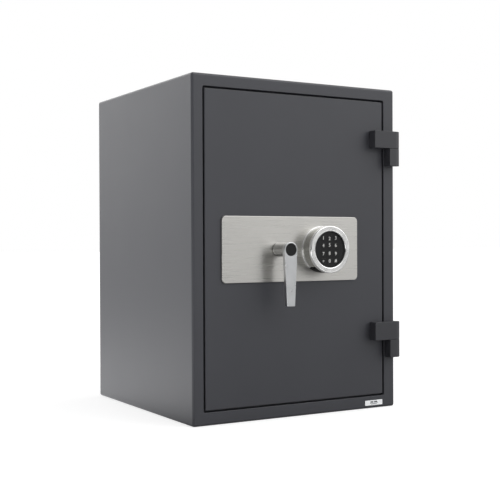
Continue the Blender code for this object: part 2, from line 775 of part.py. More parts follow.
def key_outline(x, z, grow):
    half = KEY_HALF + grow
    return rounded_rectangle(x - half, x + half, z - half, z + half, KEY_CORNER + grow, 3)


def build_keypad(door, drawer):
    axis = (KEYPAD_X, 0, KEYPAD_Z)
    ring_back = KEYPAD_FRONT + RING_DEPTH
    housing_front = ring_back + GAP
    recess_floor = housing_front + 0.0018

    profile = [
        (0, FITTING_BACK),
        (FLANGE, FITTING_BACK),
        (FLANGE, FITTING_BACK - 0.0020),
        (FLANGE - 0.0006, FITTING_BACK - 0.0026),
        (HOUSING, FITTING_BACK - 0.0026),
        (HOUSING, housing_front),
        (RING_INNER, housing_front),
        (RING_INNER, recess_floor),
        (0, recess_floor),
    ]
    housing = finish_object("keypad_housing", turned_mesh(profile, axis, "y", 64), STEEL, door)
    underside = box_mesh(
        (KEYPAD_X - 0.05, KEYPAD_FRONT, KEYPAD_Z - 0.05), (KEYPAD_X + 0.05, FITTING_BACK + EPS, DRAWER_CUT_Z)
    )
    cut(housing, "housing_underside", underside)
    pocket_half = 0.0152
    pocket_front, pocket_back = recess_floor + 0.0012, FITTING_BACK - 0.0018
    pocket_top = 0.3185
    pocket = box_mesh(
        (KEYPAD_X - pocket_half, pocket_front, DRAWER_CUT_Z - EPS),
        (KEYPAD_X + pocket_half, pocket_back, pocket_top),
    )
    cut(housing, "housing_battery_pocket", pocket)
    wire_hole = rod_mesh(axis, "y", 0.006, pocket_back - EPS / 2, FITTING_BACK + EPS, 24)
    cut(housing, "housing_wire_hole", wire_hole)

    chamfer = 0.0012
    ring_profile = [
        (RING_INNER, ring_back),
        (RING_INNER, KEYPAD_FRONT + chamfer),
        (RING_INNER + chamfer, KEYPAD_FRONT),
        (RING_OUTER - chamfer, KEYPAD_FRONT),
        (RING_OUTER, KEYPAD_FRONT + chamfer),
        (RING_OUTER, ring_back),
    ]
    finish_object("keypad_ring", turned_mesh(ring_profile, axis, "y", 64), STEEL, door)

    dial_front = KEYPAD_FRONT + DIAL_RECESS
    dial_back = dial_front + 0.0015
    key_front = dial_front - 0.0002
    dial = rod("keypad_dial", axis, "y", RING_INNER - GAP, dial_front, dial_back, BLACK, door, 48, 0.0004)
    flange_back = dial_back + GAP + 0.0005
    for name, x, z in key_places():
        hole = extrude_outline(key_outline(x, z, 0.0002), "y", dial_front - EPS, dial_back + EPS)
        cut(dial, f"key_hole_{name}", hole)
        key_axis = axis_empty(f"key_axis_{name}", (x, dial_front, z), door)
        cap = extrude_outline(key_outline(x, z, 0), "y", key_front, flange_back)
        round_edges(cap, edges_on_plane(cap, "y", key_front), 0.0006, 1)
        key = finish_object(f"key_{name}", cap, BLACK, key_axis)
        flange = extrude_outline(key_outline(x, z, 0.0005), "y", dial_back + GAP, flange_back)
        add(key, f"key_flange_{name}", flange)
    rod("keypad_board", axis, "y", 0.030, recess_floor - GAP - 0.0010, recess_floor - GAP, BOARD, door, 32)

    build_battery_drawer(drawer, pocket_front + GAP, pocket_back - GAP, pocket_half - GAP)


def build_battery_drawer(drawer, front, back, half):
    """A grip that completes the round base of the housing, and three walls that hold a block battery."""
    grip_top = DRAWER_CUT_Z - GAP
    grip_front = KEYPAD_FRONT + RING_DEPTH + 0.0006
    grip_back = FITTING_BACK - 0.0004
    half_angle = math.degrees(math.acos((KEYPAD_Z - grip_top) / FLANGE))
    segment = arc((KEYPAD_X, KEYPAD_Z), FLANGE, 270 - half_angle, 270 + half_angle, 16)
    tray = finish_object("battery_tray", extrude_outline(segment, "y", grip_front, grip_back), BLACK, drawer)
    wall = 0.0010
    cradle = box_mesh((KEYPAD_X - half, front, grip_top - 0.001), (KEYPAD_X + half, back, 0.3180))
    add(tray, "tray_cradle", cradle)
    bay_half = half - wall
    bay = box_mesh((KEYPAD_X - bay_half, front - EPS, 0.2665), (KEYPAD_X + bay_half, back - wall, 0.3300))
    cut(tray, "tray_bay", bay)
    box(
        "battery",
        (KEYPAD_X - bay_half + GAP, front, 0.2668),
        (KEYPAD_X + bay_half - GAP, back - wall - GAP, 0.3150),
        PLAIN_STEEL,
        drawer,
        radius=0.0012,
        segments=2,
    )


def build():
    clear_scene()
    door = axis_empty("door_hinge_axis", (HINGE_X, HINGE_Y, BODY_HEIGHT / 2))
    handle = axis_empty("handle_axis", (SPINDLE_X, FITTING_BACK, SPINDLE_Z), door)
    slide = axis_empty("bolt_slide_axis", (CARRIER_LEFT, BOLT_Y, SPINDLE_Z), door)
    lock_slide = axis_empty("lock_bolt_axis", (LOCK_BOLT_LEFT, ARM_BACK, LOCK_BOLT_TIP), door)
    drawer = axis_empty("battery_drawer_axis", (KEYPAD_X, -0.225, DRAWER_CUT_Z), door)

    build_outer_shell()
    build_front_frame()
    build_liner()
    build_fire_boards()
    build_hinges(door)
    build_interior()
    build_label()
    build_door_panel(door)
    build_fixed_dogs(door)
    build_escutcheon(door)
    build_handle(handle)
    build_boltwork(slide)
    build_bolt_guides(door)
    build_lock(door, lock_slide)
    build_lock_cable(door)
    build_keypad(door, drawer)


build()
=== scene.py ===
"""Looks of a free-standing safe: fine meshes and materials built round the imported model.

Metres, +Z up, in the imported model's own frame, with the door facing -Y. Places and sizes come
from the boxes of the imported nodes.
"""

import json
import math
from typing import NamedTuple

import bmesh
import bpy
from mathutils import Matrix, Vector

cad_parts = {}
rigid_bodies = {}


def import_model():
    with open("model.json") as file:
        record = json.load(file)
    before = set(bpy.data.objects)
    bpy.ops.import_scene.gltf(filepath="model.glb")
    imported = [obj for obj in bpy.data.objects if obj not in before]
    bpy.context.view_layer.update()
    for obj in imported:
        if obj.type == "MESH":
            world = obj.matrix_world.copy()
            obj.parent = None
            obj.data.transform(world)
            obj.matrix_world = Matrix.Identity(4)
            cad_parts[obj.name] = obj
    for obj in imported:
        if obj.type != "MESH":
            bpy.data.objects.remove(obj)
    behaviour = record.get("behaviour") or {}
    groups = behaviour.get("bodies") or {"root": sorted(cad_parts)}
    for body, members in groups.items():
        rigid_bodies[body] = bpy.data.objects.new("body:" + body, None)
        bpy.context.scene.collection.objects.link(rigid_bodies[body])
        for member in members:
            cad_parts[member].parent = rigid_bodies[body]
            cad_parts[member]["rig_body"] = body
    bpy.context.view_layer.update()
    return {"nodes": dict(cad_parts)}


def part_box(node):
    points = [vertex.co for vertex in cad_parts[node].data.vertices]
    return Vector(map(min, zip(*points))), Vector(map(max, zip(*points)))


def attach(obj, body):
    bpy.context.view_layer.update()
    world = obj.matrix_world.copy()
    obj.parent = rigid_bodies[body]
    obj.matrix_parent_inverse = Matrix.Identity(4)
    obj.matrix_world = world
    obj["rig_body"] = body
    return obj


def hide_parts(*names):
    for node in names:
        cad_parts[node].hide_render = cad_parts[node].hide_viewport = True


for leftover in list(bpy.data.objects):
    bpy.data.objects.remove(leftover, do_unlink=True)
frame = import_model()
node_slots = {name: node.material_slots[0].material.name for name, node in frame["nodes"].items()}

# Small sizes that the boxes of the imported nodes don't give. An edge is a rounding, and a bore,
# a stem, a tip or a corner is a radius.
GAP = 0.0003  # play between neighbours
BROKEN_EDGE = 0.0003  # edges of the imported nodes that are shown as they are
OVERRUN = 0.01  # how far a cutter runs past the piece it cuts
FINE = 96  # steps of a turned piece that shows

SHELL_SHEET = 0.003
SHELL_EDGE = 0.0045
DOORWAY_EDGE = 0.0008
SLIT = 0.0035  # gap round the door plate
DOOR_EDGE = 0.0012
LINER_SHEET = 0.0015
LINER_EDGE = 0.002  # at the liner's mouth and along its back
LINER_CORNER = 0.004
ANCHOR_BORE = 0.007
PLUG_STEM = 0.0066
PLUG_HEAD = 0.002  # thickness
PLUG_EDGE = 0.0016
COVER_CORNER = 0.002

HINGE_BORE = 0.0046
HINGE_NOSE = 0.0137  # length of the oval nose
HINGE_CORNER = 0.0006
HINGE_EDGE = 0.0008
PIN_EDGE = 0.0009
DOG_TIP = 0.002
BOLT_TIP = 0.0014
SCREW_INSET = 0.012
SCREW_HEAD = 0.0042  # radius
SCREW_HEIGHT = 0.0021

PLATE_CORNER = 0.008
PLATE_EDGE = 0.0008
SPINDLE_BORE = 0.0065
CABLE_BORE = 0.007
LEVER_THICK = 0.008
LEVER_TIP_HALF = 0.008  # half the width of the lever's end
LEVER_CORNER = 0.0012
LEVER_FRONT_EDGE = 0.0009
LEVER_BACK_EDGE = 0.0004
SPINDLE_SOCKET = 0.006 + GAP
BARREL_FOOT = 0.0012  # height of the barrel's narrower foot
CAP_EDGE = 0.0006

HOUSING_RIM = 0.0015  # how far the base rim stands out from the housing
HOUSING_RIM_HEIGHT = 0.0026
RING_BEAD = 0.0015
RING_GROOVES = (0.0024, 0.0036)  # distances of the side grooves from the ring's front
TRAY_WALL = 0.001
GRIP_GROOVES = (0.005, 0.0075, 0.010, 0.0125, 0.015, 0.0175)  # places of the drawer's finger grooves
KEY_CORNER = 0.0027
KEY_FLANGE = 0.0005
KEY_EDGE = 0.0007
KEYS = ("1", "2", "3", "4", "5", "6", "7", "8", "9", "star", "0", "hash")
KEY_SIGNS = {"star": "*", "hash": "#"}
SIGN_SIZE = 0.0088
INK = 0.00002  # half the thickness of the printing on the keys and the label
# Left, right, bottom and top of the label's bars, as shares of its width and height.
LABEL_BARS = (
    (0.30, 0.47, 0.52, 0.80),
    (0.51, 0.70, 0.52, 0.80),
    (0.28, 0.74, 0.34, 0.42),
    (0.34, 0.66, 0.18, 0.26),
)
LABEL_PAINTED_GLOW = 0.17  # painted light: a glow that makes the label whiter than the studio light leaves it

# The camera, with its angles in degrees and its lens in millimetres.
CAMERA_PLACE = (-0.976, -1.703, 0.313)
CAMERA_YAW = 30.334
CAMERA_PITCH = -0.4655
CAMERA_ROLL = -0.2219
CAMERA_LENS = 71.53
SENSOR_WIDTH = 36.0

KEY_LIGHT_PLACE = (1.1, -1.6, 1.9)
KEY_LIGHT_TARGET = (0, 0, 0.3)
KEY_LIGHT_SIZE = 0.9
KEY_LIGHT_POWER = 1.0

# Patches of light in the studio: direction, cosine at the patch's edge, cosine at full strength, strength.
LIGHT_PATCHES = (
    ((-0.55, 0.75, 0.55), 0.3, 1.0, 0.35),
    ((-0.15, 0.9, 0.3), 0.85, 1.0, 2.0),
    ((0.0, 0.0, 1.0), 0.01, 0.25, 0.36),
    ((0.45, -0.7, 0.7), 0.5, 1.0, 0.34),
    ((0.6, -0.5, 0.75), 0.65, 1.0, 1.45),
    ((0.5, -0.86, 0.1), 0.85, 1.0, 0.12),
    ((1.0, 0.0, 0.1), 0.5, 1.0, 0.5),
)
FLOOR_HALF_SIZE = 30.0
FLOOR_DROP = 0.0005  # gap between the floor and the safe
FLOOR_SEEN = 0.7  # glow that keeps the floor white for the camera
FLOOR_GLOW = 1.5  # glow that the safe gets from the floor at its side
FLOOR_GLOW_SIDE = (-0.88, 0.47, 0.0)


# Shapes


class Outline(NamedTuple):
    """A rectangle in the XZ plane with rounded corners."""

    left: float
    right: float
    bottom: float
    top: float
    corner: float = 0.0

    def grown(self, by):
        corner = max(self.corner + by, 0.0)
        return Outline(self.left - by, self.right + by, self.bottom - by, self.top + by, corner)

    def points(self, steps):
        found = []
        quarters = ((self.right, self.top, -1, -1), (self.left, self.top, 1, -1))
        quarters += ((self.left, self.bottom, 1, 1), (self.right, self.bottom, -1, 1))
        for number, (x, z, inward_x, inward_z) in enumerate(quarters):
            for step in range(steps + 1):
                angle = math.pi / 2 * (number + step / steps)
                across = x + inward_x * self.corner + self.corner * math.cos(angle)
                up = z + inward_z * self.corner + self.corner * math.sin(angle)
                found.append((across, up))
        return found


def outline_of(node, corner=0.0):
    low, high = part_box(node)
    return Outline(low.x, high.x, low.z, high.z, corner)


def quarter_turns(steps):
    """Angles from zero to a right angle."""
    return [math.pi / 2 * step / steps for step in range(steps + 1)]


def back_rim(outline, back, radius, steps=5):
    """Levels that round the rim of a back face, from the face outwards."""
    levels = []
    for turn in quarter_turns(steps):
        depth = back - radius * (1 - math.cos(turn))
        levels.append((depth, outline.grown(-radius * (1 - math.sin(turn)))))
    return levels


def front_rim(outline, front, radius, steps=5):
    """Levels that round the rim of a front face, from the side inwards."""
    levels = []
    for turn in quarter_turns(steps):
        depth = front + radius * (1 - math.sin(turn))
        levels.append((depth, outline.grown(-radius * (1 - math.cos(turn)))))
    return levels


def mouth_rim(opening, front, radius, steps=4):
    """Levels that round the front edge of an opening, from the front inwards."""
    levels = []
    for turn in quarter_turns(steps):
        depth = front + radius * (1 - math.cos(turn))
        levels.append((depth, opening.grown(radius * (1 - math.sin(turn)))))
    return levels


def loft(levels, steps=5):
    """A closed solid through outlines at depths along Y, flat at its two ends."""
    bm = bmesh.new()
    rings = [[bm.verts.new((x, y, z)) for x, z in outline.points(steps)] for y, outline in levels]
    for first, second in zip(rings, rings[1:]):
        for i in range(len(first)):
            j = (i + 1) % len(first)
            bm.faces.new((first[i], first[j], second[j], second[i]))
    bm.faces.new(rings[0])
    bm.faces.new(rings[-1])
    bmesh.ops.remove_doubles(bm, verts=bm.verts, dist=1e-7)
    bmesh.ops.recalc_face_normals(bm, faces=bm.faces)
    return bm


def turned(profile, centre, axis, steps=FINE):
    """A solid turned about an axis from a profile of (radius, distance along the axis).

    A profile that doesn't start and end at radius zero leaves a bore.
    """
    turn = {
        "x": lambda r, a, w: (w, centre[1] + r * math.cos(a), centre[2] + r * math.sin(a)),
        "y": lambda r, a, w: (centre[0] + r * math.cos(a), w, centre[2] + r * math.sin(a)),
        "z": lambda r, a, w: (centre[0] + r * math.cos(a), centre[1] + r * math.sin(a), w),
    }[axis]
    bm = bmesh.new()
    rings = []
    for radius, along in profile:
        count = steps if radius else 1
        rings.append([bm.verts.new(turn(radius, math.tau * i / steps, along)) for i in range(count)])
    pairs = list(zip(rings, rings[1:]))
    if profile[0][0]:
        pairs.append((rings[-1], rings[0]))
    for first, second in pairs:
        for i in range(steps):
            j = (i + 1) % steps
            corners = [first[i % len(first)], first[j % len(first)]]
            corners += [second[j % len(second)], second[i % len(second)]]
            bm.faces.new(list(dict.fromkeys(corners)))
    bmesh.ops.recalc_face_normals(bm, faces=bm.faces)
    return bm


def arc(centre, radius, start, end, steps):
    """Points on an arc, angles in degrees."""
    points = []
    for step in range(steps + 1):
        angle = math.radians(start + (end - start) * step / steps)
        points.append((centre[0] + radius * math.cos(angle), centre[1] + radius * math.sin(angle)))
    return points


def round_end(end, radius, edge, side):
    """The rounded end of a bar as (radius, distance) points, from its side to its end face.

    side is 1 where the bar's end faces along its axis, and -1 where it faces the other way.
    """
    points = []
    for turn in quarter_turns(5):
        points.append((radius - edge * (1 - math.cos(turn)), end - side * edge * (1 - math.sin(turn))))
    return points


def prism(points, axis, low, high):
    """An outline carried along an axis: (x, z) points along Y, (x, y) points along Z."""
    place = {"y": lambda u, v, w: (u, w, v), "z": lambda u, v, w: (u, v, w)}[axis]
    bm = bmesh.new()
    face = bm.faces.new([bm.verts.new(place(u, v, low)) for u, v in points])
    grown = bmesh.ops.extrude_face_region(bm, geom=[face])
    moved = [item for item in grown["geom"] if isinstance(item, bmesh.types.BMVert)]
    bmesh.ops.translate(bm, vec=Vector(place(0, 0, high - low)), verts=moved)
    bmesh.ops.recalc_face_normals(bm, faces=bm.faces)
    return bm


def round_rim(bm, axis, value, radius, segments):
    """Rounds the edges that lie in one plane."""
    index = "xyz".index(axis)
    rim = [e for e in bm.edges if all(abs(v.co[index] - value) < 1e-6 for v in e.verts)]
    shape = {"offset": radius, "segments": segments, "profile": 0.5, "clamp_overlap": True}
    bmesh.ops.bevel(bm, geom=rim, affect="EDGES", **shape)


def block(low, high):
    bm = bmesh.new()
    size = Vector(high) - Vector(low)
    centre = (Vector(high) + Vector(low)) / 2
    bmesh.ops.create_cube(bm, size=1.0, matrix=Matrix.Translation(centre) @ Matrix.Diagonal((*size, 1)))
    return bm


def rod(centre, axis, radius, low, high, steps=48):
    return turned([(0, low), (radius, low), (radius, high), (0, high)], centre, axis, steps)


def gather(bm, target):
    """Adds a mesh to another as a separate shape."""
    mesh = bpy.data.meshes.new("gathered")
    bm.to_mesh(mesh)
    bm.free()
    target.from_mesh(mesh)
    bpy.data.meshes.remove(mesh)


def temporary(bm):
    mesh = bpy.data.meshes.new("temporary")
    bm.to_mesh(mesh)
    bm.free()
    obj = bpy.data.objects.new("temporary", mesh)
    bpy.context.scene.collection.objects.link(obj)
    return obj


def combine(bm, others, operation):
    """The mesh after an exact Boolean with each of the others in turn."""
    target = temporary(bm)
    helpers = [temporary(other) for other in others]
    for helper in helpers:
        modifier = target.modifiers.new("combine", "BOOLEAN")
        modifier.operation = operation
        modifier.solver = "EXACT"
        modifier.object = helper
    graph = bpy.context.evaluated_depsgraph_get()
    result = bmesh.new()
    result.from_mesh(target.evaluated_get(graph).to_mesh())
    for obj in (target, *helpers):
        mesh = obj.data
        bpy.data.objects.remove(obj, do_unlink=True)
        bpy.data.meshes.remove(mesh)
    return result


def carve(bm, *cutters):
    return combine(bm, cutters, "DIFFERENCE")


# Pieces


def make_piece(name, bm, finishes, body, place=(0, 0, 0), pick=None, sharp=40):
    """An object made from a mesh in world coordinates, with its origin at a place, that rides on a body.

    pick(face) gives the number of the finish that a face takes, if there is more than one.
    """
    if pick:
        for face in bm.faces:
            face.material_index = pick(face)
    bmesh.ops.translate(bm, vec=-Vector(place), verts=bm.verts)
    mesh = bpy.data.meshes.new(name)
    bm.to_mesh(mesh)
    bm.free()
    mesh.shade_smooth()
    mesh.set_sharp_from_angle(angle=math.radians(sharp))
    for finish in finishes:
        mesh.materials.append(finish)
    obj = bpy.data.objects.new(name, mesh)
    bpy.context.scene.collection.objects.link(obj)
    obj.location = place
    normals = obj.modifiers.new("normals", "WEIGHTED_NORMAL")
    normals.keep_sharp = True
    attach(obj, body)
    return obj


def stand_in(node, bm, *finishes, place=(0, 0, 0), pick=None, sharp=40):
    """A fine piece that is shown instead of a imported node, on the same body."""
    body = frame["nodes"][node]["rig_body"]
    made = make_piece(node + "_fine", bm, finishes, body, place, pick, sharp)
    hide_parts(node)


# Materials


class Shader:
    """A Principled material whose nodes are added a call at a time, in the object's own space."""

    def __init__(self, name):
        self.material = bpy.data.materials.new(name)
        self.material.use_nodes = True
        self.tree = self.material.node_tree
        self.surface = self.tree.nodes["Principled BSDF"]
        self.space = self.node("ShaderNodeTexCoord").outputs["Object"]
        self.normal = None

    def node(self, kind, inputs=None, **settings):
        made = self.tree.nodes.new(kind)
        for key, value in settings.items():
            setattr(made, key, value)
        for key, value in (inputs or {}).items():
            self.feed(made.inputs[key], value)
        return made

    def feed(self, socket, value):
        if isinstance(value, bpy.types.NodeSocket):
            self.tree.links.new(value, socket)
        else:
            socket.default_value = value

    def set(self, **values):
        for key, value in values.items():
            self.feed(self.surface.inputs[key.replace("_", " ")], value)

    def noise(self, scale, detail=1.0, stretch=(1, 1, 1)):
        space = self.node("ShaderNodeMapping", {"Vector": self.space, "Scale": stretch}).outputs["Vector"]
        inputs = {"Vector": space, "Scale": scale, "Detail": detail}
        return self.node("ShaderNodeTexNoise", inputs).outputs["Fac"]

    def radius_noise(self, scale, axis):
        """Noise that changes only with the distance from the object's own axis, as in a turned face."""
        flat = [0 if letter == axis else 1 for letter in "xyz"]
        across = self.node("ShaderNodeVectorMath", {0: self.space, 1: flat}, operation="MULTIPLY").outputs[0]
        reach = self.node("ShaderNodeVectorMath", {0: across}, operation="LENGTH").outputs["Value"]
        inputs = {"W": reach, "Scale": scale, "Detail": 3.0}
        return self.node("ShaderNodeTexNoise", inputs, noise_dimensions="1D").outputs["Fac"]

    def spread(self, value, low, high, start=0.3, end=0.7):
        inputs = {"Value": value, "From Min": start, "From Max": end, "To Min": low, "To Max": high}
        return self.node("ShaderNodeMapRange", inputs).outputs["Result"]

    def blend(self, share, first, second):
        made = self.node("ShaderNodeMix", {"Factor": share}, data_type="RGBA")
        for key, value in (("A", first), ("B", second)):
            socket = next(s for s in made.inputs if s.name == key and s.type == "RGBA")
            self.feed(socket, value if isinstance(value, bpy.types.NodeSocket) else (*value, 1.0))
        return next(s for s in made.outputs if s.type == "RGBA")

    def bump(self, height, depth):
        inputs = {"Height": height, "Distance": depth, "Strength": 1.0}
        if self.normal:
            inputs["Normal"] = self.normal
        self.normal = self.node("ShaderNodeBump", inputs).outputs["Normal"]
        self.feed(self.surface.inputs["Normal"], self.normal)

    def ranges(self, colour, change, clouds, roughness, swing):
        """Colour and roughness that vary a little with the same slow noise."""
        share = self.spread(clouds, 0.0, 1.0)
        darker = [c * (1 - change) for c in colour]
        lighter = [c * (1 + change) for c in colour]
        self.set(Base_Color=self.blend(share, darker, lighter))
        self.set(Roughness=self.spread(clouds, roughness - swing, roughness + swing))


def paint(name, colour, roughness, grain):
    """Sprayed satin enamel: a faint orange peel with fine grain in it."""
    s = Shader(name)
    s.ranges(colour, 0.02, s.noise(14, 3), roughness, 0.01)
    s.bump(s.noise(420, 1), 0.000022 * grain)
    s.bump(s.noise(2600, 1), 0.000004 * grain)
    s.set(IOR=1.5)
    return s.material


def brushed(name, colour, roughness, along):
    """Stainless steel brushed in one direction: long fine lines that vary in depth."""
    s = Shader(name)
    fine = [30 if letter == along else 5200 for letter in "xyz"]
    coarse = [9 if letter == along else 900 for letter in "xyz"]
    lines = s.noise(1, 3, fine)
    bands = s.noise(1, 2, coarse)
    s.ranges(colour, 0.03, bands, roughness, 0.03)
    s.bump(lines, 0.0000006)
    s.bump(bands, 0.0000002)
    spread_direction = s.node("ShaderNodeCombineXYZ", {"Z": 1.0}).outputs["Vector"]
    s.set(Metallic=1.0, Anisotropic=0.7, Tangent=spread_direction)
    return s.material


def turned_steel(name, colour, roughness, axis, depth=0.000002):
    """A face turned on a lathe, with fine rings round the piece's own axis."""
    s = Shader(name)
    along = [2600 if letter == axis else 1 for letter in "xyz"]
    s.ranges(colour, 0.05, s.noise(90, 2), roughness, 0.04)
    s.bump(s.noise(1, 2, along), depth)
    s.bump(s.radius_noise(2600, axis), depth)
    s.set(Metallic=1.0)
    return s.material


def satin_steel(name, colour, roughness):
    """Cast metal with a fine blasted and plated surface."""
    s = Shader(name)
    s.ranges(colour, 0.03, s.noise(60, 2), roughness, 0.03)
    s.bump(s.noise(3000, 2), 0.000004)
    s.set(Metallic=1.0)
    return s.material


def zinc(name, colour):
    """Zinc-plated sheet with pale flakes and dull patches."""
    s = Shader(name)
    flakes = s.node("ShaderNodeTexVoronoi", {"Vector": s.space, "Scale": 210.0}).outputs["Color"]
    grey = s.node("ShaderNodeRGBToBW", {"Color": flakes}).outputs["Val"]
    s.ranges(colour, 0.14, grey, 0.42, 0.09)
    s.bump(s.noise(1500, 2), 0.000004)
    s.set(Metallic=0.9)
    return s.material


def moulded(name, colour, roughness, grain, gloss=0.25):
    """Moulded plastic or rubber with a spark-eroded grain."""
    s = Shader(name)
    s.ranges(colour, 0.12, s.noise(160, 2), roughness, 0.06)
    s.bump(s.noise(1900, 2), 0.000022 * grain)
    s.set(Specular_IOR_Level=gloss)
    return s.material


def mineral_board(name):
    """Insulating board: pale, dry, with pores and short fibres."""
    s = Shader(name)
    s.ranges((0.66, 0.63, 0.57), 0.13, s.noise(40, 5), 0.92, 0.04)
    pores = s.node("ShaderNodeTexVoronoi", {"Vector": s.space, "Scale": 420.0}).outputs["Distance"]
    s.bump(s.spread(pores, 0.0, 1.0, 0.0, 0.35), 0.00025)
    s.bump(s.noise(900, 4, (1, 1, 6)), 0.0002)
    return s.material


def graphite_seal(name):
    s = Shader(name)
    s.ranges((0.026, 0.026, 0.028), 0.25, s.noise(260, 3), 0.78, 0.08)
    s.bump(s.noise(700, 4), 0.00012)
    return s.material


def paper(name):
    """Coated label stock with faint fibres, and a painted glow that lifts its white."""
    s = Shader(name)
    s.ranges((0.90, 0.91, 0.91), 0.03, s.noise(350, 4), 0.45, 0.05)
    s.bump(s.noise(1600, 3), 0.000006)
    # Painted light: the label glows a little so that it shows whiter.
    s.set(Emission_Color=(0.93, 0.95, 1.0, 1.0), Emission_Strength=LABEL_PAINTED_GLOW)
    return s.material


def printed(name, colour):
    """Screen-printed ink, a little uneven."""
    s = Shader(name)
    s.ranges(colour, 0.08, s.noise(900, 2), 0.5, 0.05)
    s.bump(s.noise(2600, 1), 0.000004)
    return s.material


def die_cast(name, colour):
    s = Shader(name)
    s.ranges(colour, 0.08, s.noise(45, 3), 0.42, 0.07)
    s.bump(s.noise(1100, 3), 0.00002)
    s.set(Metallic=1.0)
    return s.material


def circuit(name):
    """Solder mask over copper tracks, which show as a raised, paler maze."""
    s = Shader(name)
    tracks = s.node("ShaderNodeTexVoronoi", {"Vector": s.space, "Scale": 330.0}, distance="MANHATTAN")
    share = s.spread(tracks.outputs["Distance"], 0.0, 1.0, 0.30, 0.36)
    s.set(Base_Color=s.blend(share, (0.010, 0.090, 0.040), (0.030, 0.200, 0.090)), Roughness=0.35)
    s.bump(share, 0.00003)
    return s.material


def battery_case(name, low, high):
    """A dark printed can with a bare metal band at its top."""
    s = Shader(name)
    height = s.node("ShaderNodeSeparateXYZ", {"Vector": s.space}).outputs["Z"]
    edge = low + 0.72 * (high - low)
    share = s.spread(height, 0.0, 1.0, edge - 0.0002, edge + 0.0002)
    s.set(Base_Color=s.blend(share, (0.018, 0.019, 0.022), (0.62, 0.45, 0.22)), Metallic=share)
    s.set(Roughness=s.spread(s.noise(200, 2), 0.28, 0.40))
    s.bump(s.noise(1500, 1), 0.000004)
    return s.material


PAINT = paint("safe_enamel", (0.0515, 0.053, 0.062), 0.42, 1.0)
# The hinges take a darker copy of the body enamel: painted shade on their fronts.
HINGE_SHADED_PAINT = paint("hinge_enamel_painted_shade", (0.0375, 0.0383, 0.0445), 0.42, 1.0)
INNER_PAINT = paint("inner_enamel", (0.30, 0.31, 0.32), 0.5, 1.6)
ESCUTCHEON = brushed("brushed_stainless", (0.59, 0.58, 0.555), 0.29, "x")
LEVER_METAL = satin_steel("satin_nickel", (0.70, 0.71, 0.72), 0.30)
# The barrel takes a darker nickel than the lever's face: painted shade on the barrel of the one-piece lever.
BARREL_SHADED_METAL = turned_steel("turned_nickel_painted_shade", (0.58, 0.58, 0.57), 0.22, "y", 0.0000006)
RING_METAL = turned_steel("turned_chrome", (0.86, 0.86, 0.85), 0.28, "y", 0.0000005)
HOUSING_METAL = turned_steel("turned_housing", (0.52, 0.52, 0.495), 0.20, "y", 0.0000005)
POLISHED = turned_steel("polished_chrome", (0.95, 0.95, 0.95), 0.06, "y", 0.0000001)
BOLT_STEEL = turned_steel("ground_bolt_steel", (0.66, 0.66, 0.65), 0.24, "x")
PIN_STEEL = turned_steel("ground_pin_steel", (0.52, 0.52, 0.51), 0.30, "z")
ZINC = zinc("zinc_plate", (0.55, 0.55, 0.53))
BLACK = moulded("black_moulding", (0.010, 0.010, 0.011), 0.55, 1.0, 0.12)
DIAL_BLACK = moulded("black_dial", (0.011, 0.011, 0.012), 0.50, 0.6)
CAP_BLACK = moulded("black_cap", (0.010, 0.010, 0.010), 0.50, 1.0)
KEY_RUBBER = moulded("key_rubber", (0.014, 0.014, 0.015), 0.55, 0.6)
CABLE_SLEEVE = moulded("cable_sleeve", (0.018, 0.018, 0.020), 0.5, 0.3)
BOARD = mineral_board("mineral_board")
SEAL = graphite_seal("graphite_seal")
LABEL = paper("label_paper")
LABEL_INK = printed("label_ink", (0.16, 0.17, 0.18))
KEY_INK = printed("key_ink", (0.80, 0.80, 0.78))
LOCK_CASTING = die_cast("zinc_casting", (0.50, 0.50, 0.49))
LOCK_BRASS = die_cast("brass", (0.66, 0.50, 0.24))
CIRCUIT = circuit("circuit_board_mask")

SLOT_FINISHES = {
    "body_paint": PAINT,
    "inner_paint": INNER_PAINT,
    "fire_board": BOARD,
    "plain_steel": ZINC,
    "bright_steel": BOLT_STEEL,
    "satin_chrome": LEVER_METAL,
    "brushed_plate": ESCUTCHEON,
    "black_plastic": BLACK,
    "key_plastic": KEY_RUBBER,
    "seal_rubber": SEAL,
    "label": LABEL,
    "lock_body": LOCK_CASTING,
    "lock_brass": LOCK_BRASS,
    "circuit_board": CIRCUIT,
    "battery_case": battery_case("battery_print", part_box("battery")[0].z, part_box("battery")[1].z),
}


def dress_packed_nodes():
    """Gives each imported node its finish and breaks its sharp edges, without touching its mesh."""
    for name, node in frame["nodes"].items():
        slot = node_slots[name]
        finish = CABLE_SLEEVE if name == "lock_cable" else SLOT_FINISHES[slot]
        node.material_slots[0].material = finish
        weld = node.modifiers.new("weld", "WELD")
        weld.merge_threshold = 0.000002
        flat = node.modifiers.new("flat_faces", "DECIMATE")
        flat.decimate_type = "DISSOLVE"
        flat.angle_limit = math.radians(1)
        edge = node.modifiers.new("broken_edges", "BEVEL")
        edge.width = BROKEN_EDGE
        edge.segments = 2
        edge.limit_method = "ANGLE"
        edge.angle_limit = math.radians(60)


# Body


def anchor_cutters(low, high):
    cutters = []
    for side in ("left", "right"):
        start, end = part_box(f"anchor_plug_{side}")
        centre = (start + end) / 2
        cutters.append(rod(centre, "z", ANCHOR_BORE, low, high))
    return cutters


def build_shell():
    """The bent and welded body: one sheet with rounded edges, open at the doorway."""
    low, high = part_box("outer_shell")
    outside = outline_of("outer_shell", SHELL_EDGE)
    doorway = outline_of("door_front_plate").grown(SLIT)
    levels = back_rim(outside, high.y, SHELL_EDGE, 8)
    levels += front_rim(outside, low.y, SHELL_EDGE, 8)
    levels += mouth_rim(doorway, low.y, DOORWAY_EDGE)
    levels.append((low.y + SHELL_SHEET, doorway))
    inside = outside.grown(-SHELL_SHEET)
    levels += [(low.y + SHELL_SHEET, inside), (high.y - SHELL_SHEET, inside)]
    shell = carve(loft(levels, 8), *anchor_cutters(-OVERRUN, OVERRUN))
    stand_in("outer_shell", shell, PAINT)


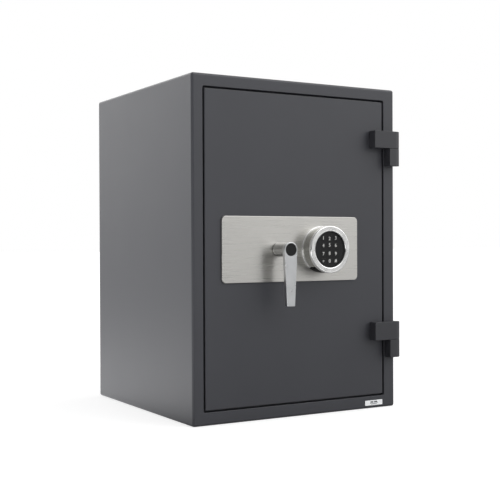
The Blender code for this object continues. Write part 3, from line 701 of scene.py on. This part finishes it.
def build_liner():
    """The inner box, folded from thin sheet, with a flange all round its front."""
    low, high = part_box("inner_liner")
    flange = outline_of("inner_liner")
    half_width = -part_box("fire_board_left")[1].x - GAP
    rear_low, rear_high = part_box("fire_board_rear")
    floor = rear_low.z
    tub = Outline(-half_width, half_width, floor, rear_high.z, LINER_CORNER)
    hollow = tub.grown(-LINER_SHEET)
    flange_back = low.y + LINER_SHEET
    levels = [(high.y, tub), (flange_back, tub), (flange_back, flange), (low.y, flange)]
    levels += mouth_rim(hollow, low.y, LINER_EDGE)
    bottom = high.y - LINER_SHEET
    for turn in quarter_turns(4):
        depth = bottom - LINER_EDGE * (1 - math.sin(turn))
        levels.append((depth, hollow.grown(-LINER_EDGE * (1 - math.cos(turn)))))
    liner = carve(loft(levels, 6), *anchor_cutters(floor - OVERRUN, floor + OVERRUN))
    stand_in("inner_liner", liner, INNER_PAINT)


def hinge_points(low, high):
    """A hinge half seen from above: rounded corners on the left and an oval nose on the right."""
    middle = (low.y + high.y) / 2
    half = (high.y - low.y) / 2
    nose = high.x - HINGE_NOSE
    left = low.x + HINGE_CORNER
    points = arc((left, high.y - HINGE_CORNER), HINGE_CORNER, 90, 180, 4)
    points += arc((left, low.y + HINGE_CORNER), HINGE_CORNER, 180, 270, 4)
    steps = 32
    for step in range(steps + 1):
        angle = math.pi * (step / steps - 0.5)
        points.append((nose + HINGE_NOSE * math.cos(angle), middle + half * math.sin(angle)))
    return points


def build_hinges():
    for place in ("upper", "lower"):
        pin_low, pin_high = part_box(f"hinge_pin_{place}")
        axis = (pin_low + pin_high) / 2
        for part in ("block", "leaf"):
            node = f"hinge_{part}_{place}"
            low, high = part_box(node)
            bm = prism(hinge_points(low, high), "z", low.z, high.z)
            round_rim(bm, "z", low.z, HINGE_EDGE, 4)
            round_rim(bm, "z", high.z, HINGE_EDGE, 4)
            bm = carve(bm, rod(axis, "z", HINGE_BORE, low.z - OVERRUN, high.z + OVERRUN))
            stand_in(node, bm, HINGE_SHADED_PAINT)
        radius = (pin_high.x - pin_low.x) / 2
        profile = [(0, pin_low.z)]
        profile += arc((radius - PIN_EDGE, pin_low.z + PIN_EDGE), PIN_EDGE, -90, 0, 4)
        profile += arc((radius - PIN_EDGE, pin_high.z - PIN_EDGE), PIN_EDGE, 0, 90, 4)
        profile += [(0, pin_high.z)]
        centre = (axis.x, axis.y, 0)
        stand_in(f"hinge_pin_{place}", turned(profile, centre, "z", 48), PIN_STEEL, place=centre)


def build_anchor_plugs():
    for side in ("left", "right"):
        low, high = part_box(f"anchor_plug_{side}")
        centre = ((low.x + high.x) / 2, (low.y + high.y) / 2, 0)
        radius = (high.x - low.x) / 2
        rim = high.z - PLUG_HEAD
        profile = [(0, low.z), (PLUG_STEM - 0.0008, low.z), (PLUG_STEM, low.z + 0.0015)]
        profile += [(PLUG_STEM, rim), (radius, rim)]
        profile += arc((radius - PLUG_EDGE, high.z - PLUG_EDGE), PLUG_EDGE, 0, 90, 5)
        profile += [(0.004, high.z), (0.0036, high.z - 0.0004), (0, high.z - 0.0004)]
        stand_in(f"anchor_plug_{side}", turned(profile, centre, "z", 64), BLACK, place=centre)


def build_label_print():
    """Grey bars in place of the writing on the label."""
    low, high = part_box("rating_label")
    width, height = high.x - low.x, high.z - low.z
    print_mesh = bmesh.new()
    for left, right, bottom, top in LABEL_BARS:
        corner_low = (low.x + left * width, low.y - 2 * INK, low.z + bottom * height)
        corner_high = (low.x + right * width, low.y, low.z + top * height)
        gather(block(corner_low, corner_high), print_mesh)
    make_piece("label_print", print_mesh, [LABEL_INK], "cabinet")


# Door


def axis_of(node):
    """A point on the axis along Y of a round node."""
    low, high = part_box(node)
    return Vector(((low.x + high.x) / 2, 0, (low.z + high.z) / 2))


def fitting_bores(low, high):
    """Cutters for the spindle and for the keypad's wire."""
    spindle = rod(axis_of("handle_cap"), "y", SPINDLE_BORE, low, high)
    wire = rod(axis_of("keypad_ring"), "y", CABLE_BORE, low, high)
    return spindle, wire


def build_door_plate():
    low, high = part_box("door_front_plate")
    outline = outline_of("door_front_plate", DOOR_EDGE)
    plate = loft(back_rim(outline, high.y, DOOR_EDGE) + front_rim(outline, low.y, DOOR_EDGE))
    plate = carve(plate, *fitting_bores(low.y - OVERRUN, high.y + OVERRUN))
    stand_in("door_front_plate", plate, PAINT)


def build_inner_cover():
    low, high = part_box("door_inner_cover")
    outline = outline_of("door_inner_cover", COVER_CORNER)
    cover = loft(back_rim(outline, high.y, 0.0008) + front_rim(outline, low.y, 0.0004))
    stand_in("door_inner_cover", cover, INNER_PAINT)


def screw_mesh(x, back, z, target):
    """A pan head with a cross recess, facing +Y."""
    profile = [(0, back), (SCREW_HEAD, back)]
    for turn in (0.25, 0.5, 0.75, 1.0, 1.2, 1.4):
        profile.append((SCREW_HEAD * math.cos(turn), back + SCREW_HEIGHT * math.sin(turn)))
    profile.append((0, back + SCREW_HEIGHT))
    head = turned(profile, (x, 0, z), "y", 40)
    recess = back + SCREW_HEIGHT - 0.0009
    slots = []
    for half_x, half_z in ((0.0024, 0.00045), (0.00045, 0.0024)):
        slots.append(block((x - half_x, recess, z - half_z), (x + half_x, back + OVERRUN, z + half_z)))
    gather(carve(head, *slots), target)


def build_cover_screws():
    """Screws that hold the inner cover to the door's pan."""
    low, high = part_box("door_inner_cover")
    heads = bmesh.new()
    columns = (low.x + SCREW_INSET, high.x - SCREW_INSET)
    height = high.z - low.z - 2 * SCREW_INSET
    rows = [low.z + SCREW_INSET + height * share for share in (0, 1 / 3, 2 / 3, 1)]
    places = [(x, z) for x in columns for z in rows]
    places += [((low.x + high.x) / 2, rows[0]), ((low.x + high.x) / 2, rows[-1])]
    for x, z in places:
        screw_mesh(x, high.y, z, heads)
    make_piece("inner_cover_screws", heads, [ZINC], "door", sharp=35)


def build_dogs_and_bolts():
    """The fixed dogs point to the hinge side, and the bolts to the other."""
    for node in ("fixed_dog_upper", "fixed_dog_lower", "bolt_upper", "bolt_middle", "bolt_lower"):
        low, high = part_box(node)
        centre = (0, (low.y + high.y) / 2, (low.z + high.z) / 2)
        radius = (high.z - low.z) / 2
        if node.startswith("fixed"):
            profile = [(0, low.x), (radius, low.x)]
            profile += round_end(high.x, radius, DOG_TIP, 1)
            profile += [(0, high.x)]
        else:
            profile = [(0, low.x)]
            profile += round_end(low.x, radius, BOLT_TIP, -1)[::-1]
            profile += [(radius, high.x), (0, high.x)]
        stand_in(node, turned(profile, centre, "x"), BOLT_STEEL, place=centre)


def build_escutcheon():
    low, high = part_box("escutcheon_plate")
    outline = outline_of("escutcheon_plate", PLATE_CORNER)
    plate = loft([(high.y, outline)] + front_rim(outline, low.y, PLATE_EDGE, 4), 10)
    plate = carve(plate, *fitting_bores(low.y - OVERRUN, high.y + OVERRUN))
    stand_in("escutcheon_plate", plate, ESCUTCHEON)


# Handle


def build_lever():
    low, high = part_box("lever_handle")
    cap_low, cap_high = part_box("handle_cap")
    cap_radius = (cap_high.x - cap_low.x) / 2
    axis = axis_of("handle_cap")
    boss = (high.x - low.x) / 2
    lever_back = low.y + LEVER_THICK
    lean = math.degrees(math.asin((boss - LEVER_TIP_HALF) / (axis.z - low.z)))
    reach = LEVER_TIP_HALF - LEVER_CORNER
    points = arc((axis.x, axis.z), boss, -lean, 180 + lean, 48)
    points += arc((axis.x - reach, low.z + LEVER_CORNER), LEVER_CORNER, 180, 270, 5)
    points += arc((axis.x + reach, low.z + LEVER_CORNER), LEVER_CORNER, 270, 360, 5)
    lever = prism(points, "y", low.y, lever_back)
    round_rim(lever, "y", low.y, LEVER_FRONT_EDGE, 4)
    round_rim(lever, "y", lever_back, LEVER_BACK_EDGE, 2)
    seat = rod(axis, "y", cap_radius + GAP, low.y - OVERRUN, cap_high.y + GAP, 64)
    barrel = boss - 0.0004
    socket_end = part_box("handle_spindle")[0].y - GAP
    foot = high.y - BARREL_FOOT
    groove = foot - 0.0018
    profile = [
        (0, socket_end),
        (SPINDLE_SOCKET, socket_end),
        (SPINDLE_SOCKET, high.y),
        (barrel - 0.0016, high.y),
        (barrel - 0.0016, foot),
        (barrel - 0.0003, foot),
        (barrel, foot - 0.0003),
        (barrel, groove),
        (barrel - 0.0003, groove - 0.0002),
        (barrel - 0.0003, groove - 0.0006),
        (barrel, groove - 0.0008),
        (barrel, lever_back - 0.002),
        (0, lever_back - 0.002),
    ]
    lever = combine(carve(lever, seat), [turned(profile, axis, "y", 80)], "UNION")

    # The barrel's faces take the darker nickel, which is painted shade.
    def pick(face):
        return 1 if face.calc_center_median().y > lever_back + 0.0001 else 0

    stand_in("lever_handle", lever, LEVER_METAL, BARREL_SHADED_METAL, place=axis, pick=pick)

    profile = [(0, cap_high.y), (cap_radius, cap_high.y)]
    profile += round_end(cap_low.y, cap_radius, CAP_EDGE, -1)
    hollow = ((0.72, 0.00004), (0.4, 0.0001), (0, 0.00012))  # a face that is very slightly dished
    profile += [(cap_radius * share, cap_low.y + depth) for share, depth in hollow]
    stand_in("handle_cap", turned(profile, axis, "y", 64), CAP_BLACK, place=axis)


# Keypad


def build_housing():
    axis = axis_of("keypad_ring")
    low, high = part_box("keypad_housing")
    flange = (high.x - low.x) / 2
    body = flange - HOUSING_RIM
    dial_radius = (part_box("keypad_dial")[1].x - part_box("keypad_dial")[0].x) / 2
    seat = dial_radius + GAP
    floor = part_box("keypad_board")[1].y + GAP
    base = high.y
    rim_front = base - HOUSING_RIM_HEIGHT
    profile = [(0, base), (flange, base)]
    profile += round_end(rim_front, flange, 0.0005, -1)
    profile += [(body + 0.0003, rim_front), (body, rim_front - 0.0003)]
    profile += [(body, low.y), (seat, low.y), (seat, floor), (0, floor)]
    housing = turned(profile, axis, "y", 128)
    aside = flange + OVERRUN
    underside = block(
        (axis.x - aside, low.y - OVERRUN, axis.z - aside),
        (axis.x + aside, base + OVERRUN, low.z),
    )
    battery_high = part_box("battery")[1]
    room = TRAY_WALL + 2 * GAP
    pocket_half = battery_high.x - axis.x + room
    pocket_back = battery_high.y + room
    pocket_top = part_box("battery_tray")[1].z + 0.0005
    pocket = block(
        (axis.x - pocket_half, floor + 0.0012, low.z - OVERRUN),
        (axis.x + pocket_half, pocket_back, pocket_top),
    )
    wire = rod(axis, "y", 0.006, pocket_back - OVERRUN / 4, base + OVERRUN)
    housing = carve(housing, underside, pocket, wire)

    def pick(face):
        place = face.calc_center_median()
        reach = math.hypot(place.x - axis.x, place.z - axis.z)
        return 1 if place.y > rim_front - 0.0001 and reach > body - 0.0002 else 0

    stand_in("keypad_housing", housing, HOUSING_METAL, POLISHED, place=axis, pick=pick)


def build_tray():
    """The battery drawer: a grip that completes the round housing, and walls behind it for the battery."""
    axis = axis_of("keypad_ring")
    low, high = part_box("battery_tray")
    battery_low, battery_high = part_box("battery")
    radius = axis.z - low.z
    grip_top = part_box("keypad_housing")[0].z - GAP
    half_angle = math.degrees(math.acos((axis.z - grip_top) / radius))
    points = arc((axis.x, axis.z), radius, 270 - half_angle, 270 + half_angle, 48)
    grip = prism(points, "y", low.y, high.y)
    grooves = []
    for along in GRIP_GROOVES:
        line = (0, low.y + along, low.z)
        grooves.append(rod(line, "x", 0.0006, axis.x - 0.02, axis.x + 0.02, 16))
    half = battery_high.x - axis.x + GAP
    back = battery_high.y + GAP
    cradle = block(
        (axis.x - half - TRAY_WALL, battery_low.y, grip_top - 0.001),
        (axis.x + half + TRAY_WALL, back + TRAY_WALL, high.z),
    )
    bay = block(
        (axis.x - half, battery_low.y - OVERRUN, battery_low.z - GAP),
        (axis.x + half, back, high.z + OVERRUN),
    )
    tray = carve(combine(carve(grip, *grooves), [cradle], "UNION"), bay)
    stand_in("battery_tray", tray, BLACK, sharp=35)


def build_battery_terminals():
    """The two snap terminals on top of the battery."""
    low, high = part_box("battery")
    middle_y = (low.y + high.y) / 2
    both = bmesh.new()
    for offset, radius, steps in ((-0.0064, 0.0029, 40), (0.0064, 0.0039, 6)):
        x = (low.x + high.x) / 2 + offset
        foot = high.z - 0.0002
        profile = [(0, foot), (radius, foot), (radius - 0.0005, foot + 0.0014), (radius, foot + 0.0026)]
        profile += [(radius - 0.0004, foot + 0.0029), (radius - 0.0012, foot + 0.0029)]
        profile += [(radius - 0.0014, foot + 0.0016), (0, foot + 0.0016)]
        gather(turned(profile, (x, middle_y, 0), "z", steps), both)
    make_piece("battery_terminals", both, [PIN_STEEL], "battery_drawer", sharp=35)


def build_ring():
    """The bezel: a satin face between two polished beads, and fine grooves round its side."""
    axis = axis_of("keypad_ring")
    low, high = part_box("keypad_ring")
    outer = (high.x - low.x) / 2
    inner = (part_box("keypad_dial")[1].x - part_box("keypad_dial")[0].x) / 2 + GAP
    face = low.y + 0.0003
    bead_back = low.y + RING_BEAD
    inner_bead = inner + RING_BEAD
    outer_bead = outer - RING_BEAD
    profile = [(inner, high.y)]
    for turn in quarter_turns(5):
        profile.append((inner_bead - RING_BEAD * math.cos(turn), bead_back - RING_BEAD * math.sin(turn)))
    profile += [(inner_bead + 0.0003, low.y), (inner_bead + 0.0006, face)]
    profile += [(outer_bead - 0.0006, face), (outer_bead - 0.0003, low.y)]
    for turn in quarter_turns(5):
        profile.append((outer_bead + RING_BEAD * math.sin(turn), bead_back - RING_BEAD * math.cos(turn)))
    for groove in RING_GROOVES:
        start = low.y + groove
        profile += [(outer, start), (outer - 0.00025, start + 0.0002), (outer - 0.00025, start + 0.0005)]
        profile += [(outer, start + 0.0007)]
    profile += [(outer, high.y - 0.0003), (outer - 0.0003, high.y)]
    ring = turned(profile, axis, "y", 128)

    def pick(facet):
        place = facet.calc_center_median()
        reach = math.hypot(place.x - axis.x, place.z - axis.z)
        on_bead = reach < inner_bead + 0.0004 or reach > outer_bead - 0.0004
        return 1 if on_bead and place.y < bead_back + 0.0003 else 0

    stand_in("keypad_ring", ring, RING_METAL, POLISHED, place=axis, pick=pick)


def key_face(name):
    """The visible outline of a key, inside the flange that keeps it behind the dial."""
    return outline_of(f"key_{name}", KEY_CORNER).grown(-KEY_FLANGE)


def build_dial():
    axis = axis_of("keypad_ring")
    low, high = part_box("keypad_dial")
    radius = (high.x - low.x) / 2
    profile = [(0, high.y), (radius, high.y)]
    profile += round_end(low.y, radius, 0.0004, -1)
    profile += [(0, low.y)]
    holes = []
    for name in KEYS:
        hole = key_face(name).grown(0.0002)
        holes.append(loft([(high.y + OVERRUN, hole), (low.y - OVERRUN, hole)]))
    stand_in("keypad_dial", carve(turned(profile, axis, "y"), *holes), DIAL_BLACK, place=axis)


def build_keys():
    dial_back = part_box("keypad_dial")[1].y
    for name in KEYS:
        low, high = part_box(f"key_{name}")
        face = key_face(name)
        flange = face.grown(KEY_FLANGE)
        levels = [(high.y, flange), (dial_back + GAP, flange), (dial_back + GAP, face)]
        levels += front_rim(face, low.y, KEY_EDGE, 4)
        place = ((low.x + high.x) / 2, low.y, (low.z + high.z) / 2)
        stand_in(f"key_{name}", loft(levels), KEY_RUBBER, place=place)
        build_sign(name, place)


def build_sign(name, place):
    """The sign printed on a key."""
    text = bpy.data.curves.new("sign", "FONT")
    text.body = KEY_SIGNS.get(name, name)
    text.size = SIGN_SIZE
    text.align_x = "CENTER"
    text.align_y = "CENTER"
    text.extrude = INK
    writer = bpy.data.objects.new("sign", text)
    bpy.context.scene.collection.objects.link(writer)
    graph = bpy.context.evaluated_depsgraph_get()
    bm = bmesh.new()
    bm.from_mesh(writer.evaluated_get(graph).to_mesh())
    bpy.data.objects.remove(writer, do_unlink=True)
    bpy.data.curves.remove(text)
    middle = sum((v.co for v in bm.verts), Vector()) / len(bm.verts)
    bmesh.ops.translate(bm, vec=(0, -middle.y, 0), verts=bm.verts)
    stand_up = Matrix.Rotation(math.pi / 2, 4, "X")
    move = Matrix.Translation(Vector(place) - Vector((0, INK, 0)))
    bmesh.ops.transform(bm, matrix=move @ stand_up, verts=bm.verts)
    make_piece(f"sign_{name}", bm, [KEY_INK], f"key_{name}", place=place)


# Studio


def build_floor():
    bm = bmesh.new()
    bmesh.ops.create_grid(bm, x_segments=1, y_segments=1, size=FLOOR_HALF_SIZE)
    mesh = bpy.data.meshes.new("studio_floor")
    bm.to_mesh(mesh)
    bm.free()
    floor = bpy.data.objects.new("studio_floor", mesh)
    floor.location.z = -FLOOR_DROP
    bpy.context.scene.collection.objects.link(floor)
    s = Shader("studio_floor")
    s.set(Base_Color=(0.45, 0.45, 0.45, 1.0), Roughness=0.9)
    seen = s.node("ShaderNodeLightPath").outputs["Is Camera Ray"]
    side = s.node("ShaderNodeVectorMath", {0: s.space, 1: FLOOR_GLOW_SIDE}, operation="DOT_PRODUCT")
    near = s.spread(side.outputs["Value"], 0.0, FLOOR_GLOW, 0.08, 0.32)
    far = s.spread(side.outputs["Value"], 0.0, 0.8 * FLOOR_GLOW, 0.6, 2.0)
    glow = s.node("ShaderNodeMath", {0: near, 1: far}, operation="SUBTRACT").outputs["Value"]
    strength = s.node("ShaderNodeMix", {"Factor": seen, "A": glow, "B": FLOOR_SEEN}).outputs["Result"]
    s.set(Emission_Color=(1.0, 1.0, 1.0, 1.0), Emission_Strength=strength)
    mesh.materials.append(s.material)


def build_world():
    """A white studio. The camera sees plain white; the object is lit a little unevenly by it."""
    world = bpy.data.worlds.new("studio")
    bpy.context.scene.world = world
    world.use_nodes = True
    tree = world.node_tree
    background = tree.nodes["Background"]
    background.inputs["Color"].default_value = (1.0, 1.0, 1.0, 1.0)
    direction = tree.nodes.new("ShaderNodeTexCoord").outputs["Generated"]

    def patch(towards, start, end, gain):
        dot = tree.nodes.new("ShaderNodeVectorMath")
        dot.operation = "DOT_PRODUCT"
        tree.links.new(direction, dot.inputs[0])
        dot.inputs[1].default_value = Vector(towards).normalized()
        spread = tree.nodes.new("ShaderNodeMapRange")
        spread.interpolation_type = "SMOOTHSTEP"
        spread.inputs["From Min"].default_value = start
        spread.inputs["From Max"].default_value = end
        spread.inputs["To Max"].default_value = gain
        tree.links.new(dot.outputs["Value"], spread.inputs["Value"])
        return spread.outputs["Result"]

    def add(first, second):
        total = tree.nodes.new("ShaderNodeMath")
        for socket, value in zip(total.inputs, (first, second)):
            tree.links.new(value, socket)
        return total.outputs[0]

    light = patch(*LIGHT_PATCHES[0])
    for settings in LIGHT_PATCHES[1:]:
        light = add(light, patch(*settings))
    path = tree.nodes.new("ShaderNodeLightPath").outputs["Is Camera Ray"]
    choice = tree.nodes.new("ShaderNodeMix")
    tree.links.new(path, choice.inputs["Factor"])
    tree.links.new(light, choice.inputs["A"])
    choice.inputs["B"].default_value = 1.0
    tree.links.new(choice.outputs["Result"], background.inputs["Strength"])


def build_key_light():
    lamp = bpy.data.lights.new("key_light", "AREA")
    lamp.shape = "SQUARE"
    lamp.size = KEY_LIGHT_SIZE
    lamp.energy = KEY_LIGHT_POWER
    obj = bpy.data.objects.new("key_light", lamp)
    bpy.context.scene.collection.objects.link(obj)
    obj.location = KEY_LIGHT_PLACE
    towards = Vector(KEY_LIGHT_TARGET) - Vector(KEY_LIGHT_PLACE)
    obj.rotation_euler = towards.to_track_quat("-Z", "Y").to_euler()


def build_camera():
    yaw, pitch, roll = (math.radians(angle) for angle in (CAMERA_YAW, CAMERA_PITCH, CAMERA_ROLL))
    forward = Vector((math.sin(yaw) * math.cos(pitch), math.cos(yaw) * math.cos(pitch), math.sin(pitch)))
    right = Vector((math.cos(yaw), -math.sin(yaw), 0))
    up = right.cross(forward)
    turn = Matrix((right, up, -forward)).transposed() @ Matrix.Rotation(roll, 3, "Z")
    lens = bpy.data.cameras.new("camera")
    lens.lens = CAMERA_LENS
    lens.sensor_width = SENSOR_WIDTH
    camera = bpy.data.objects.new("camera", lens)
    camera.location = CAMERA_PLACE
    camera.rotation_euler = turn.to_euler()
    bpy.context.scene.collection.objects.link(camera)
    bpy.context.scene.camera = camera


def build():
    dress_packed_nodes()
    build_shell()
    build_liner()
    build_hinges()
    build_anchor_plugs()
    build_label_print()
    build_door_plate()
    build_inner_cover()
    build_cover_screws()
    build_dogs_and_bolts()
    build_escutcheon()
    build_lever()
    build_housing()
    build_tray()
    build_battery_terminals()
    build_ring()
    build_dial()
    build_keys()
    build_floor()
    build_world()
    build_key_light()
    build_camera()
    bpy.context.scene.view_settings.view_transform = "Standard"


build()
